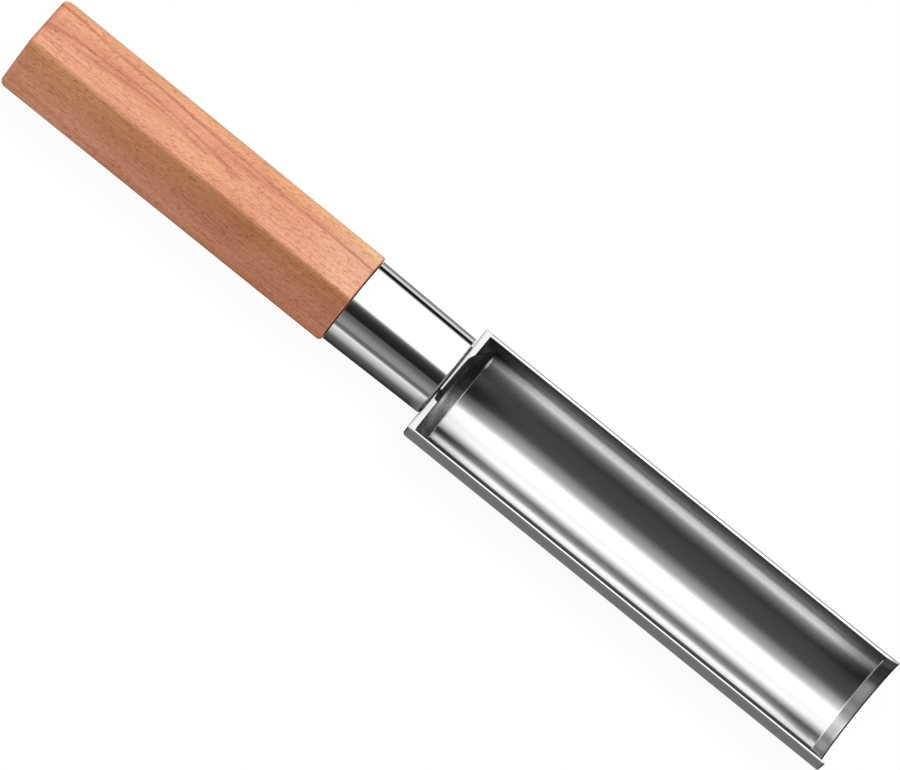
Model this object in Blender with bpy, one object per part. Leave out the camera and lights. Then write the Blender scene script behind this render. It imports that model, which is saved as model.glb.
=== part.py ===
"""Meatball scoop: a half-tube trough with a closed back, a tube neck and a six-sided handle.

X runs along the tool, with the trough's open tip at +X. Z is up. The origin is under the
middle of the tool, at the height of the trough's lowest line. All sizes are in metres.
"""
import math

import bmesh
import bpy

# General fits: space left between pieces that touch, are welded or are screwed together
CLEARANCE = 0.0003

# Trough: one half of a round tube, closed at the back and open at the top and the tip
TROUGH_LENGTH = 0.1405
TROUGH_DIAMETER = 0.0380
TROUGH_WALL = 0.0013
LIP_LENGTH = 0.0035
LIP_EDGE = 0.0005

# End wall: a half disc across the back of the trough, with a hollow-ground foot inside
END_WALL_THICKNESS = 0.0021
END_WALL_ROUND = 0.0011
FOOT_LENGTH = 0.0038
FOOT_HEIGHT = 0.0060
FOOT_EDGE = 0.0002
FOOT_HOLLOW = 0.0006
FOOT_REACH = math.radians(76)

# Relief in the inner top edge of the end wall, off centre, with a notch at one end
RELIEF_CENTRE = 0.0018
RELIEF_WIDTH = 0.0174
RELIEF_BITE = 0.0009
RELIEF_DEPTH = 0.0009
NOTCH_WIDTH = 0.0032
NOTCH_BITE = 0.0016

# Neck: a slightly tapered tube, with its axis a little above the trough's rim
NECK_LENGTH = 0.0318
NECK_FRONT_DIAMETER = 0.0246
NECK_REAR_DIAMETER = 0.0257
NECK_WALL = 0.0012
NECK_RISE = 0.0005
CAP_THICKNESS = 0.0012
BULKHEAD_THICKNESS = 0.0030
SEAL_THICKNESS = 0.0010

# Bolt and threaded sleeve that hold the handle on the neck
BOLT_DIAMETER = 0.0080
BOLT_LENGTH = 0.0420
BOLT_POINT = 0.0010
HEAD_FLATS = 0.0130
HEAD_THICKNESS = 0.0053
SLEEVE_DIAMETER = 0.0120
SLEEVE_LENGTH = 0.0220
SLEEVE_RIB = 0.0006
SLEEVE_RIB_COUNT = 6
SLEEVE_RECESS = 0.0010
BORE_SPARE_DEPTH = 0.0030

# Handle: a six-sided prism, a little thicker at the butt
HANDLE_LENGTH = 0.1078
HANDLE_FRONT_FLATS = 0.0275
HANDLE_BUTT_FLATS = 0.0282
HANDLE_EDGE_ROUND = 0.0022
HANDLE_BUTT_ROUND = 0.0019
HANDLE_FRONT_ROUND = 0.0005
HANDLE_SIDES = 6

# Facets of the round pieces
TROUGH_STEPS = 96
NECK_STEPS = 64
SMALL_STEPS = 32
ROUND_STEPS = 4
SMOOTH_ANGLE = math.radians(30)
OVERSHOOT = 0.0010

# Places that follow from the sizes
TOTAL_LENGTH = TROUGH_LENGTH + NECK_LENGTH + HANDLE_LENGTH + 2 * CLEARANCE
TIP_X = TOTAL_LENGTH / 2
WALL_X = TIP_X - TROUGH_LENGTH
NECK_FRONT_X = WALL_X - CLEARANCE
NECK_REAR_X = NECK_FRONT_X - NECK_LENGTH
HANDLE_FRONT_X = NECK_REAR_X - CLEARANCE
BUTT_X = HANDLE_FRONT_X - HANDLE_LENGTH
RIM_Z = TROUGH_DIAMETER / 2
AXIS_Z = RIM_Z + NECK_RISE
BULKHEAD_REAR_X = NECK_REAR_X + SEAL_THICKNESS + CLEARANCE
HEAD_REAR_X = BULKHEAD_REAR_X + BULKHEAD_THICKNESS + CLEARANCE
BOLT_END_X = HEAD_REAR_X - BOLT_LENGTH
SLEEVE_FRONT_X = HANDLE_FRONT_X - SLEEVE_RECESS
BOLT_HOLE_RADIUS = BOLT_DIAMETER / 2 + CLEARANCE


def clear_scene():
    for old in list(bpy.data.objects):
        bpy.data.objects.remove(old, do_unlink=True)


def make_material(name, colour, roughness, metallic):
    material = bpy.data.materials.new(name)
    material.use_nodes = True
    shader = material.node_tree.nodes["Principled BSDF"]
    shader.inputs["Base Color"].default_value = (*colour, 1.0)
    shader.inputs["Roughness"].default_value = roughness
    shader.inputs["Metallic"].default_value = metallic
    return material


def add_object(name, bm, parent, place=(0.0, 0.0, 0.0), material=None):
    """Turn a mesh under construction into a named object with smooth round faces."""
    bm.normal_update()
    bmesh.ops.recalc_face_normals(bm, faces=bm.faces)
    mesh = bpy.data.meshes.new(name)
    bm.to_mesh(mesh)
    bm.free()
    mesh.shade_smooth()
    mesh.set_sharp_from_angle(angle=SMOOTH_ANGLE)
    if material is not None:
        mesh.materials.append(material)
    obj = bpy.data.objects.new(name, mesh)
    bpy.context.scene.collection.objects.link(obj)
    obj.parent = parent
    obj.location = place
    return obj


def apply_boolean(target, tool, operation):
    """Cut a tool body from the target, or join it on. The tool stays as a hidden guide."""
    tool.hide_render = True
    tool.display_type = "WIRE"
    modifier = target.modifiers.new(tool.name, "BOOLEAN")
    modifier.object = tool
    modifier.operation = operation
    modifier.solver = "EXACT"


def turned(profile, steps):
    """Turn a closed outline of (x, radius) points once round the X axis."""
    bm = bmesh.new()
    ring = [bm.verts.new((x, -radius, 0.0)) for x, radius in profile]
    edges = [bm.edges.new((ring[i - 1], ring[i])) for i in range(len(ring))]
    bmesh.ops.spin(bm, geom=ring + edges, cent=(0, 0, 0), axis=(1, 0, 0),
                   angle=2 * math.pi, steps=steps, use_merge=True)
    bmesh.ops.remove_doubles(bm, verts=bm.verts, dist=1e-7)
    return bm


def disc(x0, x1, radius, steps):
    """A solid disc between two places on the X axis."""
    bm = bmesh.new()
    bmesh.ops.create_cone(bm, cap_ends=True, segments=steps, radius1=radius,
                          radius2=radius, depth=x1 - x0)
    turn_to_x(bm, x0, x1)
    return bm


def turn_to_x(bm, x0, x1):
    """Lay a body that was made along Z along X, between two places."""
    for vert in bm.verts:
        x, y, z = vert.co
        vert.co = (z + (x0 + x1) / 2, y, -x)


def keep_lower_half(bm):
    """Cut a body along the plane of its axis and close the cut."""
    geometry = bm.verts[:] + bm.edges[:] + bm.faces[:]
    bmesh.ops.bisect_plane(bm, geom=geometry, dist=1e-7, plane_co=(0, 0, 0),
                           plane_no=(0, 0, 1), clear_outer=True)
    border = [edge for edge in bm.edges if edge.is_boundary]
    bmesh.ops.holes_fill(bm, edges=border, sides=0)


def quarter_arc(centre_x, centre_r, radius, start):
    """Points of a quarter circle in (x, radius), from the start angle onwards."""
    angles = [start + math.pi / 2 * i / ROUND_STEPS for i in range(ROUND_STEPS + 1)]
    return [(centre_x + radius * math.cos(a), centre_r + radius * math.sin(a)) for a in angles]


def hollow_arc(low, high, sag):
    """Points from low to high in (x, radius), drawn in from the straight line by the sag."""
    run_x = high[0] - low[0]
    run_r = high[1] - low[1]
    length = math.hypot(run_x, run_r)
    shares = [i / ROUND_STEPS for i in range(ROUND_STEPS + 1)]
    return [(low[0] + run_x * k + run_r / length * 4 * sag * k * (1 - k),
             low[1] + run_r * k - run_x / length * 4 * sag * k * (1 - k))
            for k in shares]


def trough_shell(root, steel):
    outer = TROUGH_DIAMETER / 2
    inner = outer - TROUGH_WALL
    back = END_WALL_THICKNESS + CLEARANCE
    profile = [(back, inner),
               (TROUGH_LENGTH - LIP_LENGTH, inner),
               (TROUGH_LENGTH, outer - LIP_EDGE),
               (TROUGH_LENGTH, outer),
               (back, outer)]
    bm = turned(profile, TROUGH_STEPS)
    keep_lower_half(bm)
    return add_object("trough_shell", bm, root, (WALL_X, 0.0, RIM_Z), steel)


def end_wall(root, steel):
    """Half disc with a rounded back edge, its foot joined on and its relief cut out."""
    outer = TROUGH_DIAMETER / 2
    corner = quarter_arc(END_WALL_ROUND, outer - END_WALL_ROUND, END_WALL_ROUND, math.pi / 2)
    profile = corner + [(0.0, 0.0), (END_WALL_THICKNESS, 0.0), (END_WALL_THICKNESS, outer)]
    bm = turned(profile, TROUGH_STEPS)
    keep_lower_half(bm)
    wall = add_object("end_wall", bm, root, (WALL_X, 0.0, RIM_Z), steel)
    apply_boolean(wall, foot_body(root), "UNION")
    apply_boolean(wall, relief_cutter(root), "DIFFERENCE")
    return wall


def foot_body(root):
    """Ring with a hollow face, which leans on the end wall and follows the shell's inside."""
    seat = TROUGH_DIAMETER / 2 - TROUGH_WALL - CLEARANCE
    front = END_WALL_THICKNESS + FOOT_LENGTH
    top = seat - FOOT_HEIGHT
    hollow = hollow_arc((front, seat - FOOT_EDGE), (END_WALL_THICKNESS, top), FOOT_HOLLOW)
    sunk = END_WALL_THICKNESS / 2
    profile = hollow + [(sunk, top), (sunk, seat), (front, seat)]
    bm = bmesh.new()
    ring = [bm.verts.new((x, -radius * math.sin(FOOT_REACH), -radius * math.cos(FOOT_REACH)))
            for x, radius in profile]
    section = bm.faces.new(ring)
    bmesh.ops.spin(bm, geom=[section], cent=(0, 0, 0), axis=(1, 0, 0),
                   angle=2 * FOOT_REACH, steps=TROUGH_STEPS // 2)
    border = [edge for edge in bm.edges if edge.is_boundary]
    bmesh.ops.holes_fill(bm, edges=border, sides=0)
    return add_object("end_wall_foot_guide", bm, root, (WALL_X, 0.0, RIM_Z))


def relief_cutter(root):
    """Shallow bite out of the wall's inner top edge, with a deeper notch at its -Y end."""
    low = RELIEF_CENTRE - RELIEF_WIDTH / 2
    high = RELIEF_CENTRE + RELIEF_WIDTH / 2
    shallow = END_WALL_THICKNESS - RELIEF_BITE
    deep = END_WALL_THICKNESS - NOTCH_BITE
    open_side = END_WALL_THICKNESS + OVERSHOOT
    outline = [(open_side, low),
               (END_WALL_THICKNESS, low),
               (deep, low + NOTCH_WIDTH / 3),
               (deep, low + NOTCH_WIDTH),
               (shallow, low + NOTCH_WIDTH + RELIEF_BITE),
               (shallow, high - 3 * RELIEF_BITE),
               (END_WALL_THICKNESS, high),
               (open_side, high)]
    bm = bmesh.new()
    floor = bm.faces.new([bm.verts.new((x, y, -RELIEF_DEPTH)) for x, y in outline])
    lifted = bmesh.ops.extrude_face_region(bm, geom=[floor])["geom"]
    moved = [item for item in lifted if isinstance(item, bmesh.types.BMVert)]
    bmesh.ops.translate(bm, verts=moved, vec=(0, 0, RELIEF_DEPTH + OVERSHOOT))
    return add_object("end_wall_relief_guide", bm, root, (WALL_X, 0.0, RIM_Z))


def neck_radius(x):
    """Outer radius of the tapered neck at a place along the tool."""
    share = (x - NECK_REAR_X) / NECK_LENGTH
    return (NECK_REAR_DIAMETER + (NECK_FRONT_DIAMETER - NECK_REAR_DIAMETER) * share) / 2


def neck_tube(root, steel):
    profile = [(x, neck_radius(x) - wall)
               for x, wall in ((NECK_REAR_X, NECK_WALL), (NECK_FRONT_X, NECK_WALL),
                               (NECK_FRONT_X, 0.0), (NECK_REAR_X, 0.0))]
    bm = turned(profile, NECK_STEPS)
    return add_object("neck_tube", bm, root, (0.0, 0.0, AXIS_Z), steel)


def neck_filler(name, x0, x1, root, material):
    """Disc that fits inside the neck between two places, at the narrower one's size."""
    radius = min(neck_radius(x0), neck_radius(x1)) - NECK_WALL - CLEARANCE
    return add_object(name, disc(x0, x1, radius, NECK_STEPS), root, (0.0, 0.0, AXIS_Z), material)


def neck_front_cap(root, steel):
    return neck_filler("neck_front_cap", NECK_FRONT_X - CAP_THICKNESS, NECK_FRONT_X, root, steel)


def bolt_hole_cutter(name, x0, x1, root):
    bm = disc(x0 - OVERSHOOT, x1 + OVERSHOOT, BOLT_HOLE_RADIUS, SMALL_STEPS)
    return add_object(name, bm, root, (0.0, 0.0, AXIS_Z))


def neck_bulkhead(root, steel):
    front = BULKHEAD_REAR_X + BULKHEAD_THICKNESS
    plate = neck_filler("neck_bulkhead", BULKHEAD_REAR_X, front, root, steel)
    hole = bolt_hole_cutter("neck_bulkhead_hole_guide", BULKHEAD_REAR_X, front, root)
    apply_boolean(plate, hole, "DIFFERENCE")
    return plate


def seal_washer(root, rubber):
    front = NECK_REAR_X + SEAL_THICKNESS
    washer = neck_filler("seal_washer", NECK_REAR_X, front, root, rubber)
    hole = bolt_hole_cutter("seal_washer_hole_guide", NECK_REAR_X, front, root)
    apply_boolean(washer, hole, "DIFFERENCE")
    return washer


def tang_bolt(root, steel):
    """Bolt with its six-sided head inside the neck and its pointed end in the handle."""
    radius = BOLT_DIAMETER / 2
    head_middle = HEAD_REAR_X + HEAD_THICKNESS / 2
    profile = [(BOLT_END_X, 0.0),
               (BOLT_END_X, radius - BOLT_POINT),
               (BOLT_END_X + BOLT_POINT, radius),
               (head_middle, radius),
               (head_middle, 0.0)]
    bolt = add_object("tang_bolt", turned(profile, SMALL_STEPS), root, (0.0, 0.0, AXIS_Z), steel)
    corner = HEAD_FLATS / 2 / math.cos(math.pi / 6)
    head = disc(HEAD_REAR_X, HEAD_REAR_X + HEAD_THICKNESS, corner, 6)
    guide = add_object("tang_bolt_head_guide", head, root, (0.0, 0.0, AXIS_Z))
    apply_boolean(bolt, guide, "UNION")
    return bolt


def handle_insert(root, brass):
    """Threaded sleeve, drawn with ribs round its outside that grip the wood."""
    outer = SLEEVE_DIAMETER / 2
    rear = SLEEVE_FRONT_X - SLEEVE_LENGTH
    pitch = SLEEVE_LENGTH / SLEEVE_RIB_COUNT
    profile = [(SLEEVE_FRONT_X, BOLT_HOLE_RADIUS), (rear, BOLT_HOLE_RADIUS)]
    for rib in range(SLEEVE_RIB_COUNT):
        start = rear + rib * pitch
        profile.append((start, outer - SLEEVE_RIB))
        profile.append((start + pitch / 2, outer))
    profile.append((SLEEVE_FRONT_X, outer - SLEEVE_RIB))
    bm = turned(profile, SMALL_STEPS)
    return add_object("handle_insert", bm, root, (0.0, 0.0, AXIS_Z), brass)


def six_sided_prism():
    """Handle blank with sharp edges, flat side up, wider across flats at the butt."""
    bm = bmesh.new()
    rings = []
    for x, flats in ((BUTT_X, HANDLE_BUTT_FLATS), (HANDLE_FRONT_X, HANDLE_FRONT_FLATS)):
        corner = flats / 2 / math.cos(math.pi / HANDLE_SIDES)
        angles = [2 * math.pi * (i + 0.5) / HANDLE_SIDES for i in range(HANDLE_SIDES)]
        rings.append([bm.verts.new((x, corner * math.sin(a), corner * math.cos(a)))
                      for a in angles])
    butt, front = rings
    bm.faces.new(butt)
    bm.faces.new(front[::-1])
    for i in range(HANDLE_SIDES):
        bm.faces.new((butt[i - 1], front[i - 1], front[i], butt[i]))
    bmesh.ops.recalc_face_normals(bm, faces=bm.faces)
    return bm


def round_edges(bm, edges, offset):
    bmesh.ops.bevel(bm, geom=edges, offset=offset, offset_type="OFFSET", segments=ROUND_STEPS,
                    profile=0.5, affect="EDGES", clamp_overlap=False)


def edges_at(bm, x):
    """Edges that lie wholly in the plane across the tool at one place."""
    return [edge for edge in bm.edges if all(abs(v.co.x - x) < 1e-6 for v in edge.verts)]


def handle_body(root, wood):
    bm = six_sided_prism()
    long_edges = [edge for edge in bm.edges
                  if abs(edge.verts[0].co.x - edge.verts[1].co.x) > HANDLE_LENGTH / 2]
    round_edges(bm, long_edges, HANDLE_EDGE_ROUND * math.tan(math.pi / HANDLE_SIDES))
    round_edges(bm, edges_at(bm, BUTT_X), HANDLE_BUTT_ROUND)
    round_edges(bm, edges_at(bm, HANDLE_FRONT_X), HANDLE_FRONT_ROUND)
    handle = add_object("handle_body", bm, root, (0.0, 0.0, AXIS_Z), wood)
    apply_boolean(handle, handle_bore_cutter(root), "DIFFERENCE")
    return handle


def handle_bore_cutter(root):
    """Stepped bore: wide for the sleeve, then narrow past the bolt's end."""
    wide = SLEEVE_DIAMETER / 2 + CLEARANCE
    step = SLEEVE_FRONT_X - SLEEVE_LENGTH - CLEARANCE
    bottom = BOLT_END_X - BORE_SPARE_DEPTH
    mouth = HANDLE_FRONT_X + OVERSHOOT
    profile = [(mouth, 0.0), (mouth, wide), (step, wide), (step, BOLT_HOLE_RADIUS),
               (bottom, BOLT_HOLE_RADIUS), (bottom, 0.0)]
    bm = turned(profile, SMALL_STEPS)
    return add_object("handle_bore_guide", bm, root, (0.0, 0.0, AXIS_Z))


def build_scoop():
    clear_scene()
    root = bpy.data.objects.new("scoop", None)
    bpy.context.scene.collection.objects.link(root)
    satin_steel = make_material("satin steel", (0.62, 0.62, 0.61), 0.22, 1.0)
    polished_steel = make_material("polished steel", (0.68, 0.68, 0.68), 0.06, 1.0)
    plain_steel = make_material("plain steel", (0.50, 0.50, 0.51), 0.35, 1.0)
    brass = make_material("brass", (0.72, 0.52, 0.22), 0.30, 1.0)
    rubber = make_material("dark rubber", (0.03, 0.025, 0.02), 0.80, 0.0)
    beech = make_material("beech", (0.72, 0.37, 0.21), 0.50, 0.0)
    trough_shell(root, satin_steel)
    end_wall(root, satin_steel)
    neck_tube(root, polished_steel)
    neck_front_cap(root, polished_steel)
    neck_bulkhead(root, plain_steel)
    seal_washer(root, rubber)
    tang_bolt(root, plain_steel)
    handle_insert(root, brass)
    handle_body(root, beech)


build_scoop()
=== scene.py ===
"""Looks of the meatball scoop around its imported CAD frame.

Metres, +X along the tool to the open tip, +Z up, the tool lying on the floor at Z = 0.
"""
import math
from collections import namedtuple

import bmesh
import bpy
from mathutils import Matrix, Vector


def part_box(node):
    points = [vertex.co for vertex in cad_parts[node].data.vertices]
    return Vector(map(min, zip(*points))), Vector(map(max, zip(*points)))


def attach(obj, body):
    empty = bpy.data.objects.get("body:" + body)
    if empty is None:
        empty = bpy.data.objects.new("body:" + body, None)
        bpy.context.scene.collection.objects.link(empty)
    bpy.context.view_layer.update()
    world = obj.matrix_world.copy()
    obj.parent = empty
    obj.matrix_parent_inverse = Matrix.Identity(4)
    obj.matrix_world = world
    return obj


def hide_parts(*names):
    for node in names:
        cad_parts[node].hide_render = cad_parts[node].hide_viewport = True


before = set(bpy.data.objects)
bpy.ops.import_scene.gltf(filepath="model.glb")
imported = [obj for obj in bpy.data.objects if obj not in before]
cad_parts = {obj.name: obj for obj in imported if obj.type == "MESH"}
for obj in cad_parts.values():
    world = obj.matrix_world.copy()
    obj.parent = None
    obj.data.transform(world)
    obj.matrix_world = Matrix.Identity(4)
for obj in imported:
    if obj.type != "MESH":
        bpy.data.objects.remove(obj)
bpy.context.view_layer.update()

MM = 0.001

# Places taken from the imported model
wall_low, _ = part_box("end_wall")
shell_low, shell_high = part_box("trough_shell")
neck_low, neck_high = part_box("neck_tube")
handle_low, handle_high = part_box("handle_body")
insert_low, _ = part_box("handle_insert")
bolt_low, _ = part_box("tang_bolt")
WALL_X = wall_low.x
TIP_X = shell_high.x
RIM_Z = shell_high.z
OUTER = (shell_high.y - shell_low.y) / 2
AXIS_Z = (neck_low.z + neck_high.z) / 2
NECK_REAR_X = neck_low.x
NECK_FRONT_X = neck_high.x
HANDLE_FRONT_X = handle_high.x
BUTT_X = handle_low.x
# The handle's bore steps down just behind the sleeve and ends behind the bolt
BORE_STEP_X = insert_low.x - 0.3 * MM
BORE_END_X = bolt_low.x - 3.0 * MM

# Trough and end wall: wall thicknesses and the foot's size as in the part's source
INNER = OUTER - 1.3 * MM
WALL_THICK = 2.1 * MM
WALL_FRONT_X = WALL_X + WALL_THICK
FOOT_LENGTH = 3.8 * MM
FOOT_HEIGHT = 6.0 * MM
FOOT_HOLLOW = 0.6 * MM

# Their finer shapes, set to the photograph
LIP_LENGTH = 3.9 * MM
LIP_BEND = 0.25 * MM  # how far the inside's bend into the lip reaches to each side of the crease
LIP_DEPTH = 0.62 * MM
LIP_INNER_ROUND = (0.55 * MM, 0.47 * MM)  # length and height
LIP_OUTER_ROUND = 0.15 * MM
RIM_ROUND = 0.38 * MM
WALL_RIM_ROUND = 0.28 * MM
ROUND_STEPS = 4
SEAT = INNER + 0.06 * MM  # radius of the foot's outer side, just inside the shell's wall
FOOT_FADES = (math.radians(89), math.radians(76))  # angles where the foot ends and where it is full
BEAD_RADIUS = (0.17 * MM, 0.23 * MM)  # along the foot, and what its thick end adds
BEAD_SWELLS = (54, 59)  # degrees from the lowest line
RELIEF = [(10.5, 0.0), (8.6, 0.80), (6.0, 0.95), (3.0, 1.02), (0.0, 1.06), (-2.4, 1.10), (-3.8, 1.14),
          (-4.1, 1.66), (-5.6, 1.50), (-7.2, 1.20), (-7.6, 0.0)]  # millimetres: place across, bite
RELIEF_SLOPE = 1.9
RELIEF_STEPS = 6

# Neck, brazed seam and handle
NECK_REAR_R = (neck_high.z - neck_low.z) / 2
NECK_FRONT_R = 12.3 * MM
NECK_WALL = 1.2 * MM
NECK_REAR_ROUND = 0.15 * MM
NECK_FRONT_ROUND = 0.14 * MM
SEAM_INSET = 0.25 * MM
SEAM_HOLLOW = 0.08 * MM
HANDLE_BUTT_FLATS = 28.2 * MM
HANDLE_FRONT_FLATS = 27.5 * MM
HANDLE_EDGE_ROUND = 2.2 * MM
HANDLE_BUTT_ROUND = 1.9 * MM
HANDLE_FRONT_ROUND = 0.5 * MM
BORE_WIDE = 6.3 * MM
BORE_NARROW = 4.3 * MM
BORE_BEVEL = 0.3 * MM
CORNER_STEPS = 8
SIDE_STEPS = 24

# Reflected light from each side, by the angle round the tool from straight up, towards +Y: (degrees, light)
ROOM_LIGHT = [(-180, 0.08), (-91, 0.08), (-70, 0.085), (-60, 0.092), (-42, 0.105), (-36, 0.12), (-28, 0.22),
              (-20, 0.60), (-13, 0.85), (-6, 1.40), (2, 3.2), (12, 2.3), (24, 1.8), (36, 2.0), (46, 0.75),
              (54, 0.45), (62, 0.30), (70, 0.12), (90, 0.08), (180, 0.08)]
# The same for reflections that run more along the tool than across it
SLANT_LIGHT = [(-180, 0.30), (-95, 0.40), (-78, 0.95), (-55, 0.75), (-35, 0.40), (-12, 1.30), (8, 1.50),
               (30, 0.55), (52, 0.75), (76, 1.00), (95, 0.40), (180, 0.30)]
SLANT_STARTS = (0.25, 0.50)  # share of X in a reflection's direction: none of this table, all of it
# Past the tip the room is dark where X is a large share of the direction: how it fades in, how it fades out
DARK_END = ((0.69, 0.79), (0.96, 0.905))
DARK_END_LIGHT = (0.08, 0.08, 0.083, 1.0)
# Light of the smaller card that hangs close over the neck, by the angle from straight up: (degrees, light)
NECK_LIGHT = [(-90, 0.36), (-84, 0.39), (-78, 0.36), (-72, 0.27), (-66, 0.17), (-60.5, 0.15),
              (-58.5, 0.08), (-56.5, 0.02), (-48, 0.026), (-40, 0.045), (-35, 0.095), (-31, 0.2),
              (-29, 0.5), (-27, 1.05), (-25, 1.5), (0, 1.6), (73, 1.5), (76, 0.60), (79, 0.03), (90, 0.0)]
CARD_RADIUS = 0.10
CARD_ENDS = (-0.045, 0.0055)  # X of its rear and its front edge
# Light that falls on matt surfaces, by the angle from straight up: (degrees, light)
MATT_LIGHT = [(-180, 0.6), (-91, 0.6), (-60, 0.65), (0, 1.30), (60, 1.5), (91, 1.45), (180, 0.6)]
# What reflections see of the floor across the tool: (metres from the middle, light)
FLOOR_BY_NECK = [(-0.25, 0.20), (-0.126, 0.20), (-0.102, 0.35), (-0.085, 0.95), (-0.073, 1.15),
                 (-0.056, 0.87), (-0.045, 0.75), (-0.036, 0.5), (-0.030, 0.27), (-0.025, 0.125),
                 (-0.020, 0.11), (-0.015, 0.05), (0.020, 0.03), (0.036, 0.18), (0.064, 0.40),
                 (0.088, 0.85), (0.129, 1.15), (0.18, 0.32), (0.23, 0.02), (0.25, 0.0)]
FLOOR_BY_TROUGH = [(-0.25, 0.45), (-0.12, 0.75), (-0.07, 0.62), (-0.045, 0.34), (-0.032, 0.27),
                   (-0.024, 0.26), (-0.015, 0.23), (0.0, 0.15), (0.015, 0.16), (0.030, 0.30),
                   (0.05, 0.48), (0.08, 0.80), (0.13, 0.70), (0.25, 0.45)]
# The border between the two moves towards the tip further out: metres of X per metre out, less a bit
FLOOR_BORDER = (0.09, -2.7 * MM)
FLOOR_BLEND = 4 * MM
FLOOR_MATT_LIGHT = 0.6
# Shadow on the floor close to the tool
SHADOW_REACH = 12 * MM
SHADOW_TONE = 0.93

# How much the trough's inside reflects, with bands of painted shade and painted highlight, by the angle
# from its lowest line, towards +Y: (degrees, share)
TROUGH_PAINTED_REFLECTION = [(-90, 0.03), (-88.9, 0.03), (-88.5, 0.12), (-82, 0.18), (-74, 0.18), (-65, 0.12),
                (-50, 0.24), (-40, 0.34), (-34.2, 0.45), (-33.6, 0.06), (-31.5, 0.06), (-29.7, 0.88),
                (-22, 0.97), (-18, 0.52), (-14, 0.74), (-10, 0.66), (0, 0.52), (17, 0.52), (21, 0.43),
                (25, 0.47), (29, 0.56), (32, 0.46), (50, 0.50), (56, 0.55), (62, 0.60), (68, 1.00),
                (73, 0.92), (76.5, 0.75), (81, 0.22), (85, 0.16), (88.5, 0.10), (90, 0.03)]
# The same, with its bands of painted shade and painted highlight, close to the end wall, close to the lip
# and on the lip itself
WALL_END_PAINTED_REFLECTION = [(-90, 0.03), (-88.9, 0.03), (-88.5, 0.12), (-74, 0.18), (-65, 0.12), (-57, 0.17),
                  (-50, 0.24), (-40, 0.34), (-34.2, 0.45), (-33.6, 0.06), (-31.5, 0.06), (-29.7, 0.90),
                  (-22, 0.97), (-18.5, 0.42), (-14, 0.17), (-10, 0.40), (0, 0.52), (14, 0.50),
                  (19, 0.26), (24, 0.14), (30, 0.066), (36, 0.17), (42, 0.37), (50, 0.42), (56, 0.32),
                  (62, 0.30), (66, 0.35), (71, 0.085), (76, 0.03), (82, 0.045), (88.5, 0.05), (90, 0.03)]
TIP_END_PAINTED_REFLECTION = [(-90, 0.03), (-88.9, 0.03), (-88.5, 0.12), (-65, 0.12), (-50, 0.24), (-40, 0.34),
                 (-34.2, 0.45), (-33.6, 0.06), (-31.5, 0.06), (-29.7, 0.85), (-22, 1.00), (-18, 0.95),
                 (-14, 0.55), (-8, 0.50), (0, 0.52), (14, 0.54), (20, 0.58), (26, 0.60), (32, 0.47),
                 (42, 0.42), (48, 0.32), (52, 0.20), (56, 0.13), (61, 0.10), (64.5, 0.17), (67.5, 0.27),
                 (71, 0.40), (76, 0.36), (80.7, 0.09), (88.5, 0.06), (90, 0.03)]
LIP_PAINTED_REFLECTION = [(-90, 0.03), (-36, 0.20), (-30, 0.60), (-26, 0.95), (-20.6, 0.95), (-15.5, 0.62),
             (-10.8, 0.35), (-6.5, 0.31), (-2.5, 0.40), (1.4, 0.47), (5.2, 0.45), (8.9, 0.42),
             (12.4, 0.34), (15.9, 0.28), (19.5, 0.25), (22.9, 0.26), (26.4, 0.36), (29.8, 0.47),
             (36.6, 0.50), (50.7, 0.40), (54.4, 0.25), (58.2, 0.11), (62.3, 0.09), (66.4, 0.12),
             (70.8, 0.15), (78, 0.15), (88.5, 0.10), (90, 0.03)]
# The end wall's inner side, with bands of painted shade and painted highlight: next to the wall's face, and
# out at the foot's front edge
FACE_PAINTED_REFLECTION = [(-90, 0.05), (-45, 0.06), (-33, 0.08), (-22, 0.24), (-9, 0.46), (-3, 0.54), (5, 0.85),
              (11, 0.72), (17, 0.44), (22, 0.22), (30, 0.06), (44, 0.025), (59, 0.03), (72, 0.03),
              (90, 0.02)]
FOOT_PAINTED_REFLECTION = [(-90, 0.05), (-45, 0.06), (-33, 0.06), (-20, 0.07), (-9, 0.10), (0, 0.30), (6, 0.80),
              (11, 0.64), (16, 0.34), (22, 0.11), (30, 0.03), (44, 0.018), (59, 0.025), (72, 0.03),
              (90, 0.02)]
# Where the bands at the ends pass into the middle's: distances from the end wall and from the tip
WALL_END_BLEND = (5 * MM, 28 * MM)
TIP_END_BLEND = (4 * MM, 24 * MM)
# What the outside and the rims reflect, and the painted shade of the dark lines on the rims
EDGE_SHINE = 0.56
LINE_PAINTED_SHADE = 0.03
# The bright line along the lip's crease: a painted highlight
CREASE_PAINTED_HIGHLIGHT = 0.85
# The inside and its painted shade end on the rim's flat top: how far out from its own radius, and what the
# -Y rim adds
INSIDE_ENDS = 0.12 * MM
INSIDE_ENDS_LEFT = 0.52 * MM
# The second dark line, painted shade: where it starts and is full, from the outer radius inwards, and from
# the tip
OUTER_SHADE_LINE = (0.42 * MM, 0.36 * MM)
TIP_SHADE_LINE = (0.46 * MM, 0.38 * MM)

# How rosy the wood is round the handle, by the angle from straight up, towards +Y: (degrees, share)
ROSY = [(-180, 0.5), (-100, 0.6), (-85, 0.9), (-62, 0.85), (-46, 0.35), (-33, 0.0), (-27, 0.75),
        (10, 0.85), (21, 0.3), (30, 0.0), (60, 0.4), (180, 0.5)]
# The long pink line on the handle's top: its start, its slope towards -Y and its half width
LINE_X = -139 * MM
LINE_Y = 6.05 * MM
LINE_SLOPE = 0.031
LINE_HALF = 0.9 * MM
# The arched figure beside it: middle and half sizes along and across
ARCH_X = -108 * MM
ARCH_Y = -2.2 * MM
ARCH_ALONG = 32 * MM
ARCH_ACROSS = 3.7 * MM
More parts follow.
